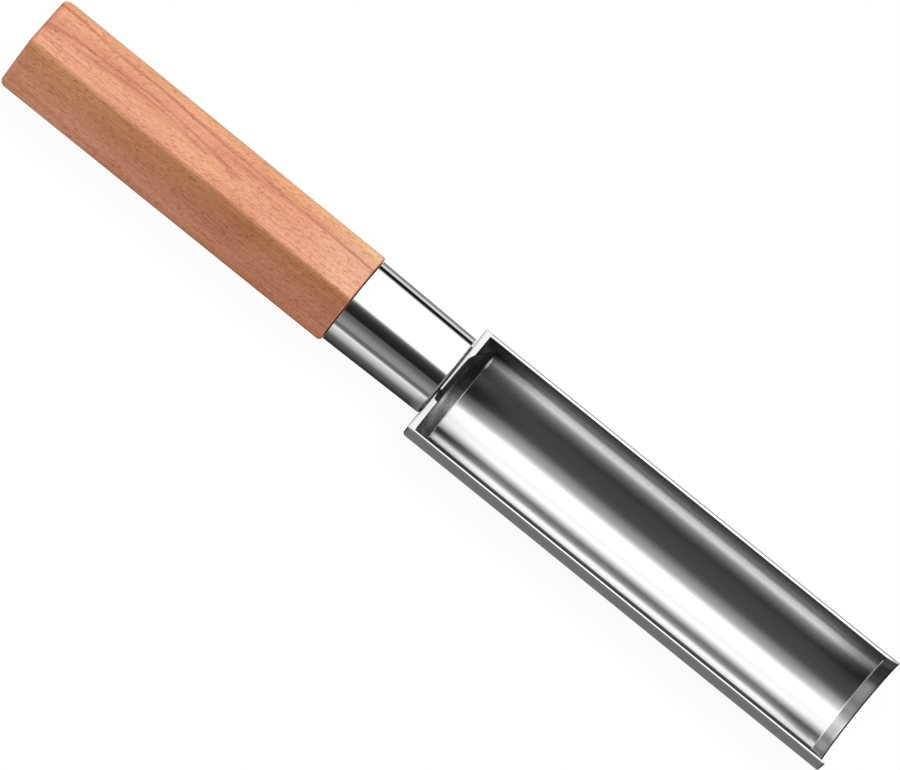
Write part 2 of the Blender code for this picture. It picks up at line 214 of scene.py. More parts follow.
# The wood's colours, and the tints that its colour is multiplied by
WOOD = [(0.30, (0.57, 0.224, 0.114)), (0.50, (0.67, 0.295, 0.160)), (0.70, (0.75, 0.362, 0.205))]
PATCH = (0.77, 0.374, 0.213, 1.0)
FIGURE = (0.47, 0.150, 0.090, 1.0)
OCHRE = (1.0, 1.04, 0.88, 1.0)
PINK = (1.02, 0.975, 1.06, 1.0)
GRAIN_DARK = (0.70, 0.56, 0.48, 1.0)
GRAIN_PALE = (1.10, 1.16, 1.20, 1.0)
# Browner tint with painted shade on the lower side, towards its rear and its front
LOWER_REAR_SHADE = (0.90, 0.86, 0.80, 1.0)
LOWER_FRONT_SHADE = (0.70, 0.59, 0.50, 1.0)
LOWER_PINK = (1.04, 1.10, 1.18, 1.0)
TOP_FRONT = (1.02, 1.18, 1.30, 1.0)
# Painted highlight on the handle's long edges
LONG_EDGE_HIGHLIGHT = (1.10, 1.18, 1.22, 1.0)
BUTT = (0.90, 0.82, 0.76, 1.0)


def photo_camera():
    """Camera fitted to the photograph's outlines of the tool."""
    turn = (Matrix.Rotation(math.radians(-39.223), 3, "Z")
            @ Matrix.Rotation(math.radians(-29.116), 3, "X")
            @ Matrix.Rotation(math.radians(-0.381), 3, "Y"))
    distance = 1900.0
    pixels_per_mm = 3.80
    picture_width = 900
    aside, above = 0.674, -1.977
    data = bpy.data.cameras.new("photo_camera")
    data.sensor_width = 36.0
    data.lens = pixels_per_mm * distance / picture_width * data.sensor_width
    data.clip_start = 0.05
    data.clip_end = 50.0
    camera = bpy.data.objects.new("photo_camera", data)
    bpy.context.scene.collection.objects.link(camera)
    place = turn.transposed() @ Vector((aside, above, distance)) * MM
    camera.matrix_world = (Matrix.Translation(place + Vector((WALL_X, 0.0, RIM_Z)))
                           @ turn.transposed().to_4x4())
    bpy.context.scene.camera = camera


def grey(tone):
    return (tone, tone, tone, 1.0)


class Graph:
    """Short way to add shader nodes and link them."""

    def __init__(self, tree):
        self.tree = tree

    def add(self, kind, inputs=None, **settings):
        node = self.tree.nodes.new(kind)
        for key, value in settings.items():
            setattr(node, key, value)
        for key, value in (inputs or {}).items():
            self.put(node.inputs[key], value)
        return node

    def put(self, socket, value):
        if isinstance(value, bpy.types.NodeSocket):
            self.tree.links.new(value, socket)
        else:
            socket.default_value = value

    def place(self):
        return self.add("ShaderNodeTexCoord").outputs["Object"]

    def xyz(self, vector):
        return self.add("ShaderNodeSeparateXYZ", {0: vector}).outputs

    def math(self, operation, *values, clamp=False):
        node = self.add("ShaderNodeMath", dict(enumerate(values)), operation=operation)
        node.use_clamp = clamp
        return node.outputs[0]

    def plus(self, a, b):
        return self.math("ADD", a, b)

    def minus(self, a, b):
        return self.math("SUBTRACT", a, b)

    def times(self, a, b):
        return self.math("MULTIPLY", a, b)

    def times_plus(self, a, b, c, clamp=False):
        return self.math("MULTIPLY_ADD", a, b, c, clamp=clamp)

    def size(self, a):
        return self.math("ABSOLUTE", a)

    def larger(self, a, b):
        return self.math("MAXIMUM", a, b)

    def distance(self, a, b):
        return self.math("SQRT", self.plus(self.times(a, a), self.times(b, b)))

    def ramp(self, factor, stops):
        """Grey or colour by a factor between 0 and 1; each stop is (place, tone or colour)."""
        node = self.add("ShaderNodeValToRGB", {0: factor})
        elements = node.color_ramp.elements
        while len(elements) < len(stops):
            elements.new(0.5)
        for element, (place, _) in zip(elements, stops):
            element.position = place
        for element, (_, value) in zip(node.color_ramp.elements, stops):
            element.color = grey(value) if isinstance(value, float) else (*value, 1.0)
        return node.outputs[0]

    def span(self, value, low, high, to_low=0.0, to_high=1.0, kind="LINEAR"):
        return self.add("ShaderNodeMapRange", {"Value": value, "From Min": low, "From Max": high,
                                               "To Min": to_low, "To Max": to_high},
                        interpolation_type=kind).outputs[0]

    def soft(self, value, low, high, to_low=0.0, to_high=1.0):
        return self.span(value, low, high, to_low, to_high, "SMOOTHSTEP")

    def mix(self, factor, a, b, blend="MIX"):
        node = self.add("ShaderNodeMix", data_type="RGBA", blend_type=blend)
        self.put(node.inputs[0], factor)
        self.put(node.inputs[6], a)
        self.put(node.inputs[7], b)
        return node.outputs[2]

    def multiplied(self, colour, tint):
        return self.mix(1.0, colour, tint, "MULTIPLY")

    def tinted(self, colour, tint, share):
        """Colour multiplied by a tint to the extent that share says."""
        return self.mix(share, colour, self.multiplied(colour, tint))

    def noise(self, vector, scale, detail=2.0, roughness=0.5, distortion=0.0):
        node = self.add("ShaderNodeTexNoise", {"Vector": vector, "Scale": scale, "Detail": detail,
                                               "Roughness": roughness, "Distortion": distortion})
        return node.outputs[0]

    def stretched(self, vector, scale, shift=(0.0, 0.0, 0.0), turn=(0.0, 0.0, 0.0)):
        return self.add("ShaderNodeMapping", {"Vector": vector, "Scale": scale,
                                              "Location": shift, "Rotation": turn}).outputs[0]

    def streaks(self, vector, along, across, *settings, shift=(0.0, 0.0, 0.0)):
        """Noise with one scale along the tool and one across it; settings as for noise."""
        return self.noise(self.stretched(vector, (along, across, across), shift), 1.0, *settings)

    def bump(self, shader, height, strength, distance):
        node = self.add("ShaderNodeBump", {"Strength": strength, "Distance": distance, "Height": height})
        self.put(shader.inputs["Normal"], node.outputs[0])


def by_angle(g, y, z, stops):
    """Light by the angle round the X axis, from straight up."""
    share = g.span(g.math("ARCTAN2", y, z), -math.pi, math.pi)
    return g.ramp(share, [((a + 180) / 360, float(v)) for a, v in stops])


def by_width(g, y, stops):
    """Light by the distance from the middle of the tool."""
    low, high = stops[0][0], stops[-1][0]
    return g.ramp(g.span(y, low, high), [((a - low) / (high - low), float(v)) for a, v in stops])


def soft_studio():
    """Soft light overhead, dark towards the camera's side and in part of the room's end past the tip."""
    world = bpy.data.worlds.new("studio")
    bpy.context.scene.world = world
    world.use_nodes = True
    world.cycles.sampling_method = "NONE"
    world.node_tree.nodes.clear()
    g = Graph(world.node_tree)
    x, y, z = g.xyz(g.add("ShaderNodeTexCoord").outputs["Generated"])
    light = by_angle(g, y, z, ROOM_LIGHT)
    light = g.mix(g.soft(g.size(x), *SLANT_STARTS), light, by_angle(g, y, z, SLANT_LIGHT))
    rise, fall = DARK_END
    light = g.mix(g.times(g.soft(x, *rise), g.soft(x, *fall)), light, DARK_END_LIGHT)
    path = g.add("ShaderNodeLightPath").outputs
    light = g.mix(path["Is Diffuse Ray"], light, by_angle(g, y, z, MATT_LIGHT))
    light = g.mix(path["Is Camera Ray"], light, grey(1.0))
    shade = g.add("ShaderNodeBackground", {"Color": light, "Strength": 1.0})
    g.add("ShaderNodeOutputWorld", {"Surface": shade.outputs[0]})


def glow(name):
    """New material that only shines; returns it with its graph and its emission shader."""
    material = bpy.data.materials.new(name)
    material.use_nodes = True
    material.node_tree.nodes.clear()
    material.cycles.emission_sampling = "NONE"
    g = Graph(material.node_tree)
    shine = g.add("ShaderNodeEmission", {"Strength": 1.0})
    g.add("ShaderNodeOutputMaterial", {"Surface": shine.outputs[0]})
    return material, g, shine


def stage_mesh(name, bm, material):
    mesh = bpy.data.meshes.new(name)
    bm.to_mesh(mesh)
    bm.free()
    mesh.materials.append(material)
    obj = bpy.data.objects.new(name, mesh)
    bpy.context.scene.collection.objects.link(obj)
    return obj


def neck_card():
    """Curved light card over the neck, seen only in its reflections."""
    material, g, shine = glow("neck_card")
    _, y, z = g.xyz(g.place())
    g.put(shine.inputs["Color"], by_angle(g, y, g.minus(z, AXIS_Z), NECK_LIGHT))
    bm = bmesh.new()
    steps = 90
    rows = []
    for i in range(steps + 1):
        a = math.pi * (i / steps - 0.5)
        y, z = CARD_RADIUS * math.sin(a), AXIS_Z + CARD_RADIUS * math.cos(a)
        rows.append([bm.verts.new((x, y, z)) for x in CARD_ENDS])
    for one, two in zip(rows, rows[1:]):
        bm.faces.new((one[0], one[1], two[1], two[0]))
    card = stage_mesh("neck_card", bm, material)
    card.visible_camera = False
    card.visible_diffuse = False
    card.visible_shadow = False


def pale_floor():
    """White floor with a faint shadow at the tool; reflections see it darker, as in the photograph."""
    material, g, shine = glow("pale_floor")
    x, y, _ = g.xyz(g.place())
    near = g.add("ShaderNodeAmbientOcclusion", {"Distance": SHADOW_REACH}, samples=12).outputs["AO"]
    seen = g.span(near, 0.0, 1.0, SHADOW_TONE, 1.0)
    border = g.larger(0.0, g.times_plus(g.size(y), *FLOOR_BORDER))
    beyond = g.span(g.minus(x, border), -FLOOR_BLEND, 0.0)
    reflected = g.mix(beyond, by_width(g, y, FLOOR_BY_NECK), by_width(g, y, FLOOR_BY_TROUGH))
    path = g.add("ShaderNodeLightPath").outputs
    light = g.mix(path["Is Glossy Ray"], grey(FLOOR_MATT_LIGHT), reflected)
    light = g.mix(path["Is Camera Ray"], light, seen)
    g.put(shine.inputs["Color"], light)
    bm = bmesh.new()
    bmesh.ops.create_grid(bm, x_segments=8, y_segments=8, size=3.0)
    stage_mesh("floor", bm, material)


def add_piece(name, verts, faces, material, slot, *nodes, sharp=math.radians(35)):
    """Make a mesh object, ride it on the tool's one body, and let it stand for CAD nodes."""
    bm = bmesh.new()
    points = [bm.verts.new(v) for v in verts]
    for face in faces:
        if len(set(face)) > 2:
            bm.faces.new([points[i] for i in face])
    bmesh.ops.remove_doubles(bm, verts=bm.verts, dist=1e-7)
    bmesh.ops.dissolve_degenerate(bm, edges=bm.edges, dist=1e-7)
    bm.normal_update()
    bmesh.ops.recalc_face_normals(bm, faces=bm.faces)
    mesh = bpy.data.meshes.new(name)
    bm.to_mesh(mesh)
    bm.free()
    mesh.shade_smooth()
    mesh.set_sharp_from_angle(angle=sharp)
    mesh.materials.append(material)
    obj = bpy.data.objects.new(name, mesh)
    bpy.context.scene.collection.objects.link(obj)
    weighted = obj.modifiers.new("weighted_normals", "WEIGHTED_NORMAL")
    weighted.keep_sharp = True
    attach(obj, "root")
    if nodes:
        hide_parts(*nodes)


def part_way(value, low, high):
    """How far a value is from low to high, kept between 0 and 1."""
    return min(1.0, max(0.0, (value - low) / (high - low)))


def eased(k):
    return k * k * (3 - 2 * k)


def strips(rows, columns, closed):
    """Quads between neighbouring rows of one grid of points; closed joins each row's ends."""
    faces = []
    for r in range(rows - 1):
        for c in range(columns if closed else columns - 1):
            d = (c + 1) % columns
            faces.append((r * columns + c, r * columns + d, (r + 1) * columns + d, (r + 1) * columns + c))
    return faces


def end_caps(total, count):
    """Faces that close the first and the last row of a grid of points."""
    return [tuple(range(count)), tuple(reversed(range(total - count, total)))]


def numbered(verts, points):
    """Add points to a list of vertices and return their numbers."""
    start = len(verts)
    verts += points
    return list(range(start, len(verts)))


def joined(rows):
    """Quads between neighbouring rows of vertex numbers."""
    faces = []
    for one, two in zip(rows, rows[1:]):
        for j in range(len(one) - 1):
            faces.append((one[j], one[j + 1], two[j + 1], two[j]))
    return faces


def arc(cx, cy, rx, ry, start, end, steps):
    """Points of an ellipse's arc, angles in degrees."""
    angles = [math.radians(start + (end - start) * i / steps) for i in range(steps + 1)]
    return [(cx + rx * math.cos(a), cy + ry * math.sin(a)) for a in angles]


def inset(outline, offsets):
    """Move each side of a closed outline (listed anticlockwise) inwards by its own distance."""
    result = []
    count = len(outline)
    for i, point in enumerate(outline):
        a = Vector(point) - Vector(outline[i - 1])
        b = Vector(outline[(i + 1) % count]) - Vector(point)
        na = Vector((-a.y, a.x)).normalized()
        nb = Vector((-b.y, b.x)).normalized()
        da, db = offsets[i - 1], offsets[i]
        det = na.x * nb.y - na.y * nb.x
        if abs(det) < 0.02:
            move = (na * da + nb * db) / 2
        else:
            move = Vector(((da * nb.y - db * na.y) / det, (db * na.x - da * nb.x) / det))
        result.append((point[0] + move.x, point[1] + move.y))
    return result


def rounded_rim(outline, offsets, radius, step):
    """Outline drawn in, and its height, at one step of the rounding up to the rim's flat top."""
    turn = math.pi / 2 * step / ROUND_STEPS
    shrink = radius * (1 - math.cos(turn))
    return inset(outline, [shrink * k for k in offsets]), RIM_Z - radius * (1 - math.sin(turn))


def round_trough(x, r, a):
    """Point at a radius and an angle from the trough's lowest line."""
    return (x, r * math.sin(a), RIM_Z - r * math.cos(a))


def trough_outline():
    """Outline (x, radius) of the shell's wall along the tool, anticlockwise from the back inside."""
    back = WALL_FRONT_X
    crease = TIP_X - LIP_LENGTH
    lip_end = (TIP_X - LIP_INNER_ROUND[0], OUTER - LIP_DEPTH)
    points = [(back, INNER)]
    points += [(back + (crease - LIP_BEND - back) * i / 12, INNER) for i in range(1, 13)]
    points += [(crease, INNER + 0.012 * MM), (crease + LIP_BEND, INNER + 0.06 * MM)]
    for k in (0.35, 0.7):
        points.append((crease + (lip_end[0] - crease) * k, INNER + (lip_end[1] - INNER) * k))
    top = OUTER - LIP_OUTER_ROUND
    end = TIP_X - LIP_OUTER_ROUND
    points += arc(lip_end[0], top, *LIP_INNER_ROUND, -90, 0, 6)
    points += arc(end, top, LIP_OUTER_ROUND, LIP_OUTER_ROUND, 0, 90, 3)[1:]
    points += [(end + (back - end) * i / 12, OUTER) for i in range(1, 13)]
    return points


def trough_mesh():
    """The outline swept half round the axis, with rounded rims and a flat top on each side."""
    outline = trough_outline()
    offsets = [1.0 - 0.6 * part_way(x, TIP_X - LIP_LENGTH, TIP_X - 0.5 * MM) for x, _ in outline]
    offsets[-1] = 0.0

    def rim(side, order):
        rows = []
        for step in order:
            points, z = rounded_rim(outline, offsets, RIM_ROUND, step)
            rows.append([(x, side * r, z) for x, r in points])
        return rows

    steps = 180
    rows = rim(-1, range(ROUND_STEPS, -1, -1))
    for i in range(1, steps):
        a = math.pi * (i / steps - 0.5)
        rows.append([round_trough(x, r, a) for x, r in outline])
    rows += rim(1, range(ROUND_STEPS + 1))
    verts = [point for row in rows for point in row]
    faces = strips(len(rows), len(outline), True) + end_caps(len(verts), len(outline))
    return verts, faces


def wall_round(a):
    """Radius of the wall's outer edge: small at the rim and larger below it."""
    return (0.45 + 0.95 * max(0.0, math.cos(a)) ** 0.7) * MM


def foot_fade(a):
    """Share of the foot's full size at an angle from the lowest line: it dies out before the rims."""
    return eased(part_way(abs(a), *FOOT_FADES))


def foot_bead_mesh():
    """Thin weld bead along the foot's front edge, thicker where it stops on the +Y side."""
    steps, around = 150, 10
    reach = math.radians(70)
    thin, more = BEAD_RADIUS
    verts = []
    for i in range(steps + 1):
        a = reach * (2 * i / steps - 1)
        taper = min(1.0, (steps / 2 - abs(i - steps / 2)) / 6 + 0.15)
        swell = part_way(math.degrees(a), *BEAD_SWELLS)
        radius = (thin + more * eased(swell)) * taper
        middle = WALL_FRONT_X + FOOT_LENGTH * foot_fade(a) + 0.15 * MM * swell
        for j in range(around):
            turn = 2 * math.pi * j / around
            r = INNER - 0.02 * MM + radius * math.sin(turn)
            verts.append(round_trough(middle + radius * math.cos(turn), r, a))
    faces = strips(steps + 1, around, True) + end_caps(len(verts), around)
    return verts, faces


def wall_profile(a):
    """Outline (x, radius) of the end wall at an angle, from its back edge round to the foot's top."""
    edge = wall_round(a)
    fade = foot_fade(a)
    length, height = FOOT_LENGTH * fade, FOOT_HEIGHT * fade
    low = (WALL_FRONT_X + length, INNER - 0.04 * MM * fade)
    high = (WALL_FRONT_X, INNER - height)
    profile = arc(WALL_X + edge, OUTER - edge, edge, edge, 180, 90, 8)
    profile += [(WALL_FRONT_X, OUTER), (WALL_FRONT_X, SEAT), (low[0], SEAT)]
    run = math.hypot(length, height) or 1.0
    for j in range(11):
        k = j / 10
        sag = 4 * FOOT_HOLLOW * fade * k * (1 - k)
        profile.append((low[0] + (high[0] - low[0]) * k - height / run * sag,
                        low[1] + (high[1] - low[1]) * k + length / run * sag))
    return profile


def relief_columns():
    """Grid of the relief: from its line on the rim down to its foot on the wall's inner face."""
    columns = []
    for y, bite in RELIEF:
        column = []
        for j in range(RELIEF_STEPS + 1):
            k = j / RELIEF_STEPS
            z = RIM_Z - WALL_RIM_ROUND - bite * RELIEF_SLOPE * k * MM
            column.append((WALL_FRONT_X - bite * (1 - k) * MM, y * MM, z))
        columns.append(column)
    return columns


def wall_rim(verts, outline):
    """Faces of the wall's top, from its outline at the rounding's lower edge in to the flat top."""
    path = []
    for index in outline:
        x, y, _ = verts[index]
        # points that coincide, at the seat and at the foot's faded end, are left out
        if path and math.hypot(x - path[-1][0], y - path[-1][1]) < 1e-6:
            continue
        path.append((x, y, index))
    flat = [(x, y) for x, y, _ in path]
    count = len(path)
    area = sum(flat[i - 1][0] * flat[i][1] - flat[i][0] * flat[i - 1][1] for i in range(count))
    if area < 0:
        path.reverse()
        flat.reverse()
    offsets = []
    for i in range(count):
        side = (flat[i], flat[(i + 1) % count])
        on_seam = all(abs(x - WALL_FRONT_X) < 1e-7 and abs(y) > INNER - 0.1 * MM for x, y in side)
        offsets.append(0.0 if on_seam else 1.0)
    faces = []
    previous = [index for _, _, index in path]
    for step in range(1, ROUND_STEPS + 1):
        points, z = rounded_rim(flat, offsets, WALL_RIM_ROUND, step)
        ring = numbered(verts, [(x, y, z) for x, y in points])
        for j in range(count):
            k = (j + 1) % count
            faces.append((previous[j], previous[k], ring[k], ring[j]))
        previous = ring
    faces.append(tuple(previous))
    return faces


def end_wall_mesh():
    """Half disc with a rounded back edge, a hollow foot inside and the ground relief at its top."""
    steps = 120
    verts = []
    rings = []
    for i in range(steps + 1):
        a = math.pi * (i / steps - 0.5)
        if i in (0, steps):
            points = [(x, math.copysign(r, a), RIM_Z - WALL_RIM_ROUND) for x, r in wall_profile(a)]
        else:
            points = [round_trough(x, r, a) for x, r in wall_profile(a)]
        rings.append(numbered(verts, points))
    columns = [numbered(verts, column) for column in relief_columns()]
    faces = joined(rings)
    faces.append(tuple(ring[0] for ring in rings))
    faces += joined(columns)
    # the inner face runs along the foot's top line, then back along the rim past the relief
    faces.append(tuple([ring[-1] for ring in rings] + [column[-1] for column in columns]))
    faces += wall_rim(verts, rings[0][::-1] + rings[-1] + [column[0] for column in columns])
    return verts, faces


def neck_radius(x):
    share = (x - NECK_REAR_X) / (NECK_FRONT_X - NECK_REAR_X)
    return NECK_REAR_R + (NECK_FRONT_R - NECK_REAR_R) * share


def neck_mesh():
    """Tapered tube with small rounded edges at both ends."""
    rear, front = NECK_REAR_X, NECK_FRONT_X
    edge, roll = NECK_REAR_ROUND, NECK_FRONT_ROUND
    shoulder = front - roll
    outline = arc(rear + edge, neck_radius(rear + edge) - edge, edge, edge, 180, 90, 4)
    along = [rear + (front - rear) * k for k in (0.05, 0.25, 0.5, 0.75, 0.95)]
    along += [shoulder - 0.3 * MM, shoulder - 0.08 * MM]
    outline += [(x, neck_radius(x)) for x in along]
    outline += arc(shoulder, neck_radius(shoulder) - roll, roll, roll, 90, 0, 8)
    outline += [(x, neck_radius(x) - NECK_WALL) for x in (front, rear)]
    steps = 192
    verts = []
    for i in range(steps):
        a = 2 * math.pi * i / steps
        verts += [(x, r * math.sin(a), AXIS_Z + r * math.cos(a)) for x, r in outline]
    count = len(outline)
    faces = strips(steps, count, True)
    last = (steps - 1) * count
    for j in range(count):
        k = (j + 1) % count
        faces.append((last + j, last + k, k, j))
    return verts, faces


def joint_mesh():
    """Brazed seam between the neck and the end wall: a thin half disc a little inside the neck's edge."""
    steps = 96
    radius = NECK_FRONT_R - SEAM_INSET
    top = RIM_Z - SEAM_INSET
    reach = math.acos((AXIS_Z - top) / radius)
    middle = (NECK_FRONT_X + WALL_X) / 2
    outline = [(NECK_FRONT_X, radius), (middle, radius - SEAM_HOLLOW), (WALL_X, radius)]
    verts = []
    for i in range(steps + 1):
        a = reach * (2 * i / steps - 1)
        verts += [(x, r * math.sin(a), min(top, AXIS_Z - r * math.cos(a))) for x, r in outline]
    faces = strips(steps + 1, 3, False)
    ends = len(verts) - 3
    faces.append((0, 1, 2, ends + 2, ends + 1, ends))
    faces.append(tuple(3 * i for i in range(steps, -1, -1)))
    faces.append(tuple(3 * i + 2 for i in range(steps + 1)))
    return verts, faces


def hexagon_ring(flats, shrink):
    """Points of a rounded hexagon (y, z), flat side up; shrink draws the outline in."""
    edge_round = max(HANDLE_EDGE_ROUND - shrink, 0.05 * MM)
    apothem = flats / 2 - shrink
    core = (apothem - edge_round) / math.cos(math.pi / 6)

    def point(corner, a):
        return (core * math.sin(corner) + edge_round * math.sin(a),
                core * math.cos(corner) + edge_round * math.cos(a))

    ring = []
    for side in range(6):
        corner = math.radians(30 + 60 * side)
        for i in range(CORNER_STEPS + 1):
            ring.append(point(corner, corner + math.radians(-30 + 60 * i / CORNER_STEPS)))
        start = Vector(ring[-1])
        end = Vector(point(math.radians(30 + 60 * (side + 1)), corner + math.radians(30)))
        for i in range(1, SIDE_STEPS):
            ring.append(tuple(start.lerp(end, i / SIDE_STEPS)))
    return ring


def circle_ring(radius, like):
    """Circle with one point in line with each point of another ring."""
    return [(radius * y / math.hypot(y, z), radius * z / math.hypot(y, z)) for y, z in like]


def handle_mesh():
    """Six-sided prism with rounded edges, wider at the butt, and the stepped bore in its front."""
    length = HANDLE_FRONT_X - BUTT_X
    butt, front = HANDLE_BUTT_ROUND, HANDLE_FRONT_ROUND

    def section(x, shrink=0.0):
        flats = HANDLE_BUTT_FLATS + (HANDLE_FRONT_FLATS - HANDLE_BUTT_FLATS) * (x - BUTT_X) / length
        return (x, hexagon_ring(flats, shrink))

    _, butt_face = section(BUTT_X, butt)
    rings = [(BUTT_X, [(y * k, z * k) for y, z in butt_face]) for k in (0.35, 0.7, 0.9)]
    for i in range(9):
        a = math.pi / 2 * i / 8
        rings.append(section(BUTT_X + butt * (1 - math.cos(a)), butt * (1 - math.sin(a))))
    for i in range(1, 24):
        rings.append(section(BUTT_X + butt + (length - butt - front) * i / 24))
    for i in range(6):
        a = math.pi / 2 * i / 5
        rings.append(section(HANDLE_FRONT_X - front * (1 - math.sin(a)), front * (1 - math.cos(a))))
    outer = rings[-1][1]
    wide = circle_ring(BORE_WIDE, outer)
    narrow = circle_ring(BORE_NARROW, outer)
    for k in (0.3, 0.65):
        between = [tuple(Vector(p).lerp(Vector(q), k)) for p, q in zip(outer, wide)]
        rings.append((HANDLE_FRONT_X, between))
    rings += [(HANDLE_FRONT_X, circle_ring(BORE_WIDE + BORE_BEVEL, outer)),
              (HANDLE_FRONT_X - BORE_BEVEL, wide), (BORE_STEP_X, wide), (BORE_STEP_X, narrow),
              (BORE_END_X, narrow)]
    count = len(outer)
    verts = [(x, y, AXIS_Z + z) for x, ring in rings for y, z in ring]
    faces = strips(len(rings), count, True)
    verts += [(BUTT_X, 0.0, AXIS_Z), (BORE_END_X, 0.0, AXIS_Z)]
    last = (len(rings) - 1) * count
    for j in range(count):
        k = (j + 1) % count
        faces.append((len(verts) - 2, k, j))
        faces.append((last + j, last + k, len(verts) - 1))
    return verts, faces


def principled(name, **values):
    """New material with its shader's constant values set on the shader itself."""
    material = bpy.data.materials.new(name)
    material.use_nodes = True
    g = Graph(material.node_tree)
    shader = material.node_tree.nodes["Principled BSDF"]
    for key, value in values.items():
        shader.inputs[key.replace("_", " ")].default_value = value
    return material, g, shader


Spot = namedtuple("Spot", "x y depth radius angle")


def turn_share(degrees):
    """Place in the tables of the trough's inside: 0 at the -Y rim, 1 at the +Y rim."""
    return (degrees + 90) / 180


def by_turn(g, at, stops):
    """Share by the angle from the trough's lowest line."""
    return g.ramp(at.angle, [(turn_share(a), float(v)) for a, v in stops])


def trough_look(g, at, rough):
    """Bands of painted shade and painted highlight inside the trough, and thin painted dark lines along its
    rims and its lip.

    Returns how much each place reflects, how matt it is and how rough it is.
    """
    from_tip = g.minus(TIP_X, at.x)
    middle = g.soft(g.minus(at.x, WALL_X), *WALL_END_BLEND)
    # bands of painted shade and painted highlight, by the angle round the trough
    wall = g.mix(middle, by_turn(g, at, WALL_END_PAINTED_REFLECTION), by_turn(g, at, TROUGH_PAINTED_REFLECTION))
    wall = g.mix(g.soft(from_tip, *TIP_END_BLEND), by_turn(g, at, TIP_END_PAINTED_REFLECTION), wall)
    wall = g.mix(g.span(from_tip, LIP_LENGTH - 0.3 * MM, LIP_LENGTH), by_turn(g, at, LIP_PAINTED_REFLECTION), wall)
    # the lip's crease gets a painted highlight line, rougher than around it
    crease = g.span(g.size(g.minus(from_tip, LIP_LENGTH)), 0.10 * MM, 0.22 * MM, 1.0, 0.0)
    crease = g.times(crease, g.span(g.size(g.minus(at.angle, 0.5)), 0.455, 0.475, 1.0, 0.0))
    wall = g.mix(crease, wall, grey(CREASE_PAINTED_HIGHLIGHT))

    # the inside's dark edge, painted shade, reaches onto the rim's flat top, further on the -Y side
    left = g.math("LESS_THAN", at.y, 0.0)
    inner_edge = g.times_plus(left, INSIDE_ENDS_LEFT, INNER + INSIDE_ENDS)
    inside = g.span(g.minus(at.radius, inner_edge), 0.0, 0.06 * MM, 1.0, 0.0)
    on_lip = g.times(g.span(from_tip, LIP_LENGTH, LIP_LENGTH - 0.1 * MM),
                     g.span(at.depth, 0.30 * MM, 0.40 * MM))
    inside = g.larger(inside, on_lip)
    inside = g.times(inside, g.span(at.radius, OUTER - 0.30 * MM, OUTER - 0.20 * MM, 1.0, 0.0))
    share = g.mix(inside, grey(EDGE_SHINE), wall)

    # a second dark line of painted shade follows the +Y rim's outer edge and the lip's end
    outer = g.times(g.span(at.radius, OUTER - OUTER_SHADE_LINE[0], OUTER - OUTER_SHADE_LINE[1]),
                    g.span(at.depth, RIM_ROUND, RIM_ROUND + 0.1 * MM, 1.0, 0.0))
    outer = g.times(outer, g.minus(1.0, left))
    outer = g.larger(outer, g.span(from_tip, *TIP_SHADE_LINE))
    share = g.mix(outer, share, grey(LINE_PAINTED_SHADE))
    matt = g.times(inside, g.span(at.angle, turn_share(76), turn_share(81), 0.0, 0.6))
    rough = g.larger(rough, g.times(g.times(crease, inside), 0.5))
    return share, matt, rough


def wall_look(g, at, rough):
    """The end wall: painted reflection bands on its foot inside, painted shade on its ground upper face and
    along its dark back edge.

    Returns how much each place reflects, how matt it is and how rough it is.
    """
    front = WALL_FRONT_X
    sunk = g.span(at.depth, WALL_RIM_ROUND, WALL_RIM_ROUND + 0.08 * MM)
    inner = g.times(sunk, g.span(at.radius, INNER - 0.02 * MM, INNER + 0.04 * MM, 1.0, 0.0))
    inner = g.times(inner, g.span(at.x, WALL_X + 0.4 * MM, WALL_X + 0.45 * MM))
    # bands of painted shade and painted highlight on the wall's face and the foot
    foot = g.span(at.x, front + 0.5 * MM, front + 3.0 * MM)
    tone = g.mix(foot, by_turn(g, at, FACE_PAINTED_REFLECTION), by_turn(g, at, FOOT_PAINTED_REFLECTION))
    # the ground relief at the top is painted dark: painted shade
    ground = g.span(at.x, front - 0.05 * MM, front + 0.35 * MM, 1.0, 0.0)
    tone = g.mix(ground, tone, grey(0.02))
    share = g.mix(inner, grey(EDGE_SHINE), tone)
    # the back edge next to the neck is darkened: painted shade in the gap
    back = g.span(at.x, WALL_X + 0.04 * MM, WALL_X + 0.14 * MM, 0.08, 1.0)
    smear = g.span(g.size(g.minus(at.angle, turn_share(13))), 0.04, 0.12, 0.25, 0.65)
    matt = g.times(inner, g.larger(smear, g.times(ground, 0.9)))
    rough = g.larger(rough, g.times(g.times(inner, ground), 0.55))
    return g.times(share, back), matt, rough


def satin_steel(name, look):
    """Steel polished lengthwise: fine marks along X spread a reflection across the tool.

    The bands of duller and brighter steel are painted shade and painted highlights, not seen as such on the
    real tool. They bring the reflections to what the photograph shows.
    """
    material, g, shader = principled(name, Anisotropic=0.55, Anisotropic_Rotation=0.25,
                                     Specular_IOR_Level=0.2)
    place = g.place()
    fine = g.streaks(place, 30.0, 2600.0, 3.0, 0.6)
    broad = g.streaks(place, 25.0, 120.0, 3.0)
    x, y, z = g.xyz(place)
    depth = g.minus(RIM_Z, z)
    angle = g.span(g.math("ARCTAN2", y, depth), -math.pi / 2, math.pi / 2)
    rough = g.times_plus(fine, 0.05, g.times_plus(broad, 0.04, 0.16))
    share, matt, rough = look(g, Spot(x, y, depth, g.distance(y, depth), angle), rough)
    marks = g.times_plus(fine, 0.10, g.times_plus(broad, 0.06, 0.92))
    tone = g.times(share, marks)
    colour = g.add("ShaderNodeCombineColor", {0: tone, 1: tone, 2: g.times(tone, 0.995)})
    g.put(shader.inputs["Base Color"], colour.outputs[0])
    g.put(shader.inputs["Metallic"], g.minus(1.0, matt))
    g.put(shader.inputs["Roughness"], rough)
    g.bump(shader, fine, 0.05, 0.02 * MM)
    tangent = g.add("ShaderNodeTangent", direction_type="RADIAL", axis="X")
    g.put(shader.inputs["Tangent"], tangent.outputs[0])
    return material


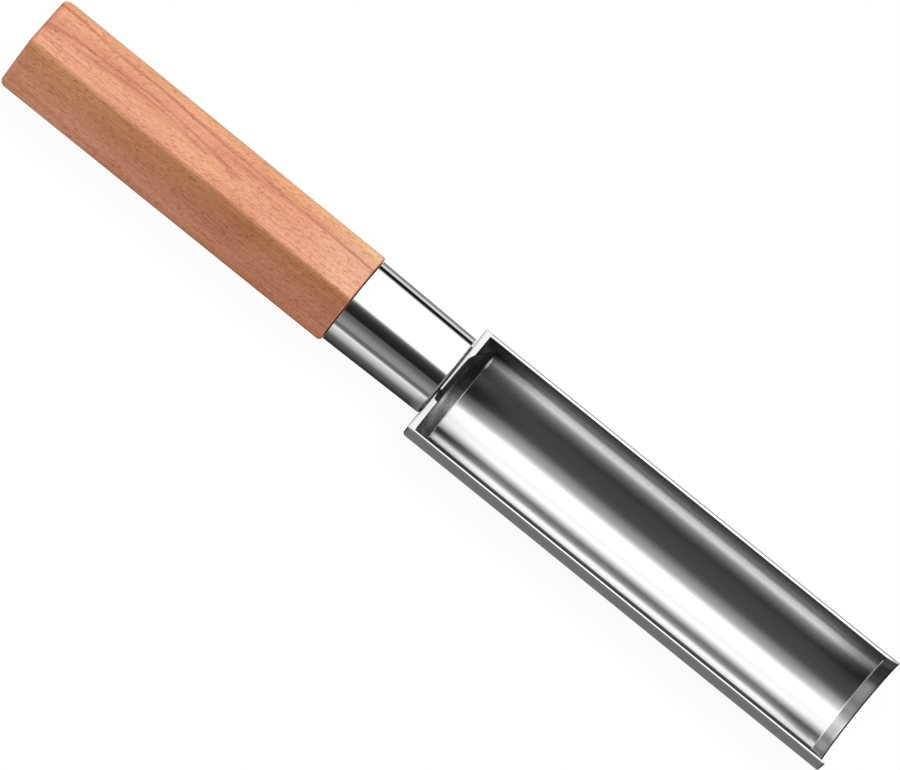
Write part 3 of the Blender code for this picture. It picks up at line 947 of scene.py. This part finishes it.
def polished_steel():
    """Mirror polish with a faint haze, and painted shade in the narrow crevice against the end wall."""
    material, g, shader = principled("polished_steel", Metallic=1.0)
    place = g.place()
    haze = g.streaks(place, 60.0, 400.0, 4.0, 0.6)
    clean = g.ramp(haze, [(0.3, (0.66, 0.66, 0.68)), (0.7, (0.70, 0.70, 0.71))])
    x, _, z = g.xyz(place)
    # painted shade in the crevice where the neck meets the end wall
    crevice_shade = g.times(g.span(x, NECK_FRONT_X - 0.26 * MM, NECK_FRONT_X - 0.16 * MM),
                      g.span(z, RIM_Z + 3 * MM, RIM_Z + 6 * MM, 1.0, 0.0))
    g.put(shader.inputs["Base Color"], g.mix(crevice_shade, clean, grey(0.03)))
    rolled = g.span(x, NECK_FRONT_X - 0.15 * MM, NECK_FRONT_X - 0.08 * MM)
    rough = g.mix(rolled, g.span(haze, 0.3, 0.7, 0.035, 0.07), grey(0.45))
    g.put(shader.inputs["Roughness"], rough)
    return material


def turned_metal(name, marks, stains, dull, bright, rough):
    """Metal with turning marks across X and faint stains; marks is (scale along, scale across)."""
    material, g, shader = principled(name, Metallic=1.0)
    place = g.place()
    turned = g.streaks(place, *marks, 3.0)
    stain = g.noise(place, stains, 4.0)
    g.put(shader.inputs["Base Color"], g.ramp(stain, [(0.3, dull), (0.7, bright)]))
    g.put(shader.inputs["Roughness"], g.span(turned, 0.3, 0.7, *rough))
    g.bump(shader, turned, 0.3, 0.05 * MM)
    return material


def dark_rubber():
    material, g, shader = principled("dark_rubber", Specular_IOR_Level=0.3)
    place = g.place()
    grain = g.noise(place, 2400.0, 3.0)
    bloom = g.noise(place, 150.0, 3.0)
    tones = g.ramp(bloom, [(0.3, (0.022, 0.019, 0.016)), (0.75, (0.05, 0.045, 0.04))])
    g.put(shader.inputs["Base Color"], tones)
    g.put(shader.inputs["Roughness"], g.span(grain, 0.3, 0.7, 0.7, 0.9))
    g.bump(shader, grain, 0.4, 0.05 * MM)
    return material


def wood_figure(g, place, x, y, z):
    """Where the long pink line and the arched figure lie on the top face."""
    wander = g.times_plus(g.streaks(place, 45.0, 30.0), 1.6 * MM, -0.8 * MM)
    across = g.plus(y, wander)
    line = g.size(g.times_plus(g.minus(x, LINE_X), LINE_SLOPE, g.minus(across, LINE_Y)))
    line = g.soft(line, 0.0, LINE_HALF, 1.0, 0.0)
    ring = g.distance(g.math("DIVIDE", g.minus(x, ARCH_X), ARCH_ALONG),
                      g.math("DIVIDE", g.minus(across, ARCH_Y), ARCH_ACROSS))
    arch = g.soft(g.size(g.minus(ring, 1.0)), 0.0, 0.16, 1.0, 0.0)
    inner = g.soft(g.size(g.minus(ring, 0.62)), 0.0, 0.20, 0.6, 0.0)
    arch = g.times(g.larger(arch, inner), g.span(across, -2.6 * MM, -1.2 * MM))
    figure = g.times(g.larger(line, arch), g.span(z, AXIS_Z + 9 * MM, AXIS_Z + 12 * MM))
    broken = g.span(g.streaks(place, 90.0, 400.0), 0.3, 0.6, 0.55, 1.0)
    return g.times(figure, broken)


def side_tints(g, colour, rosy, x):
    """Tints by the way each side faces, chosen to match the handle: partly the wood's own tints, partly
    painted shade on the lower side and a painted highlight on the long edges.
    """
    facing = g.xyz(g.add("ShaderNodeTexCoord").outputs["Normal"])
    aside = g.size(facing[1])

    # the side towards -Y is darker, most of all at the front: a browner tint of the wood with painted shade
    lower = g.span(facing[1], -0.35, -0.75)
    forward = g.span(x, BUTT_X, HANDLE_FRONT_X)
    tint = g.mix(forward, LOWER_REAR_SHADE, LOWER_FRONT_SHADE)
    tint = g.multiplied(tint, g.mix(rosy, grey(1.0), LOWER_PINK))
    colour = g.tinted(colour, tint, lower)

    # the top face is paler at the front, the long edges are paler with a painted highlight, and the butt is
    # darker
    pale_front = g.times(g.soft(x, -56 * MM, -34 * MM), g.span(facing[2], 0.7, 0.95))
    colour = g.tinted(colour, TOP_FRONT, g.times(pale_front, 0.9))
    edge = g.times(g.span(aside, 0.04, 0.2), g.span(aside, 0.80, 0.55))
    colour = g.tinted(colour, LONG_EDGE_HIGHLIGHT, g.times(edge, 0.5))
    return g.tinted(colour, BUTT, g.span(facing[0], -0.35, -0.8))


def beech():
    """Oiled beech: pink streaks and an arched figure on top, short dark flecks that lean off the axis."""
    material, g, shader = principled("beech", Specular_IOR_Level=0.4)
    place = g.place()
    x, y, z = g.xyz(place)
    leaning = g.stretched(place, (1.0, 1.0, 1.0), turn=(0.0, 0.0, math.radians(-8)))
    flecks = g.streaks(leaning, 520.0, 2300.0, 2.0, 0.55)
    pores = g.streaks(leaning, 1100.0, 5200.0)
    fibre = g.streaks(place, 50.0, 1700.0, 4.0, 0.6)
    streak = g.streaks(place, 10.0, 170.0, 3.0, 0.5, 0.5)
    patch = g.streaks(place, 38.0, 95.0, 3.0, 0.55)

    base = g.mix(g.span(patch, 0.35, 0.68, 0.0, 0.5), g.ramp(streak, WOOD), PATCH)
    hue = g.streaks(place, 20.0, 110.0, 3.0, 0.55, shift=(4.0, 2.0, 0.0))
    side_hue = by_angle(g, y, g.minus(z, AXIS_Z), ROSY)
    rosy = g.times_plus(hue, 1.2, g.minus(side_hue, 0.6), clamp=True)
    base = g.multiplied(base, g.mix(rosy, OCHRE, PINK))
    figure = wood_figure(g, place, x, y, z)
    colour = g.mix(g.times(figure, 0.8), base, FIGURE)
    colour = side_tints(g, colour, rosy, x)

    dark = g.multiplied(colour, GRAIN_DARK)
    pale = g.multiplied(colour, GRAIN_PALE)
    colour = g.mix(g.span(fibre, 0.50, 0.30, 0.0, 0.8), colour, pale)
    colour = g.mix(g.span(fibre, 0.48, 0.70, 0.0, 0.60), colour, dark)
    colour = g.mix(g.span(pores, 0.48, 0.66, 0.0, 0.60), colour, dark)
    colour = g.mix(g.span(flecks, 0.56, 0.66, 0.0, 1.0), colour, dark)
    g.put(shader.inputs["Base Color"], colour)
    rough = g.times_plus(g.span(flecks, 0.5, 0.7), 0.14, g.span(fibre, 0.3, 0.7, 0.36, 0.46))
    g.put(shader.inputs["Roughness"], rough)
    height = g.times_plus(g.span(flecks, 0.56, 0.70), -1.0, g.times(fibre, 0.5))
    g.bump(shader, height, 0.35, 0.06 * MM)
    return material


def weld_steel():
    """Bright fine-grained steel of the bead along the foot, with a painted glint at its +Y end: pale and
    less metallic there.
    """
    material, g, shader = principled("weld_steel")
    place = g.place()
    _, y, _ = g.xyz(place)
    # a painted glint: the bead's +Y end is pale and less metallic
    pale = g.span(y, INNER * math.sin(math.radians(55)), INNER * math.sin(math.radians(59)))
    grain = g.noise(place, 2600.0, 3.0)
    clean = g.ramp(grain, [(0.3, 0.66), (0.7, 0.78)])
    g.put(shader.inputs["Base Color"], g.mix(pale, clean, grey(0.96)))
    g.put(shader.inputs["Metallic"], g.times_plus(pale, -0.92, 1.0))
    g.put(shader.inputs["Roughness"], g.span(grain, 0.3, 0.7, 0.18, 0.26))
    g.bump(shader, grain, 0.2, 0.02 * MM)
    return material


def seam_steel():
    """Steel of the brazed seam behind the end wall: wiped bright along the neck, with painted shade along
    the wall.
    """
    material, g, shader = principled("seam_steel", Metallic=1.0)
    place = g.place()
    grain = g.noise(place, 5000.0, 3.0)
    x, _, _ = g.xyz(place)
    middle = (NECK_FRONT_X + WALL_X) / 2
    wiped = g.ramp(grain, [(0.3, 0.32), (0.7, 0.40)])
    # painted shade in the gap along the wall
    gap_shade = g.ramp(grain, [(0.3, (0.030, 0.029, 0.028)), (0.7, (0.045, 0.043, 0.040))])
    by_wall = g.span(x, middle - 0.03 * MM, middle + 0.03 * MM)
    g.put(shader.inputs["Base Color"], g.mix(by_wall, wiped, gap_shade))
    g.put(shader.inputs["Roughness"], g.span(grain, 0.3, 0.7, 0.45, 0.65))
    g.bump(shader, grain, 0.3, 0.03 * MM)
    return material


def dress_node(name, material):
    """Give a CAD node that stays its better material."""
    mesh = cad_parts[name].data
    mesh.materials.clear()
    mesh.materials.append(material)


photo_camera()
soft_studio()
neck_card()
pale_floor()
bpy.context.scene.view_settings.view_transform = "Standard"

polished = polished_steel()
plain = turned_metal("plain_steel", (2500.0, 300.0), 260.0, (0.40, 0.39, 0.39), (0.54, 0.54, 0.55),
                     (0.28, 0.45))
add_piece("trough", *trough_mesh(), satin_steel("satin_steel_trough", trough_look), "satin_steel",
          "trough_shell")
add_piece("end_plate", *end_wall_mesh(), satin_steel("satin_steel_wall", wall_look), "satin_steel",
          "end_wall", sharp=math.radians(28))
add_piece("foot_bead", *foot_bead_mesh(), weld_steel(), "satin_steel")
add_piece("neck", *neck_mesh(), polished, "polished_steel", "neck_tube")
add_piece("neck_seam", *joint_mesh(), seam_steel(), "satin_steel")
add_piece("handle", *handle_mesh(), beech(), "beech", "handle_body")
dress_node("neck_front_cap", plain)
dress_node("neck_bulkhead", plain)
dress_node("tang_bolt", plain)
dress_node("seal_washer", dark_rubber())
brass = turned_metal("brass", (3000.0, 250.0), 300.0, (0.60, 0.40, 0.15), (0.78, 0.58, 0.26), (0.22, 0.4))
dress_node("handle_insert", brass)
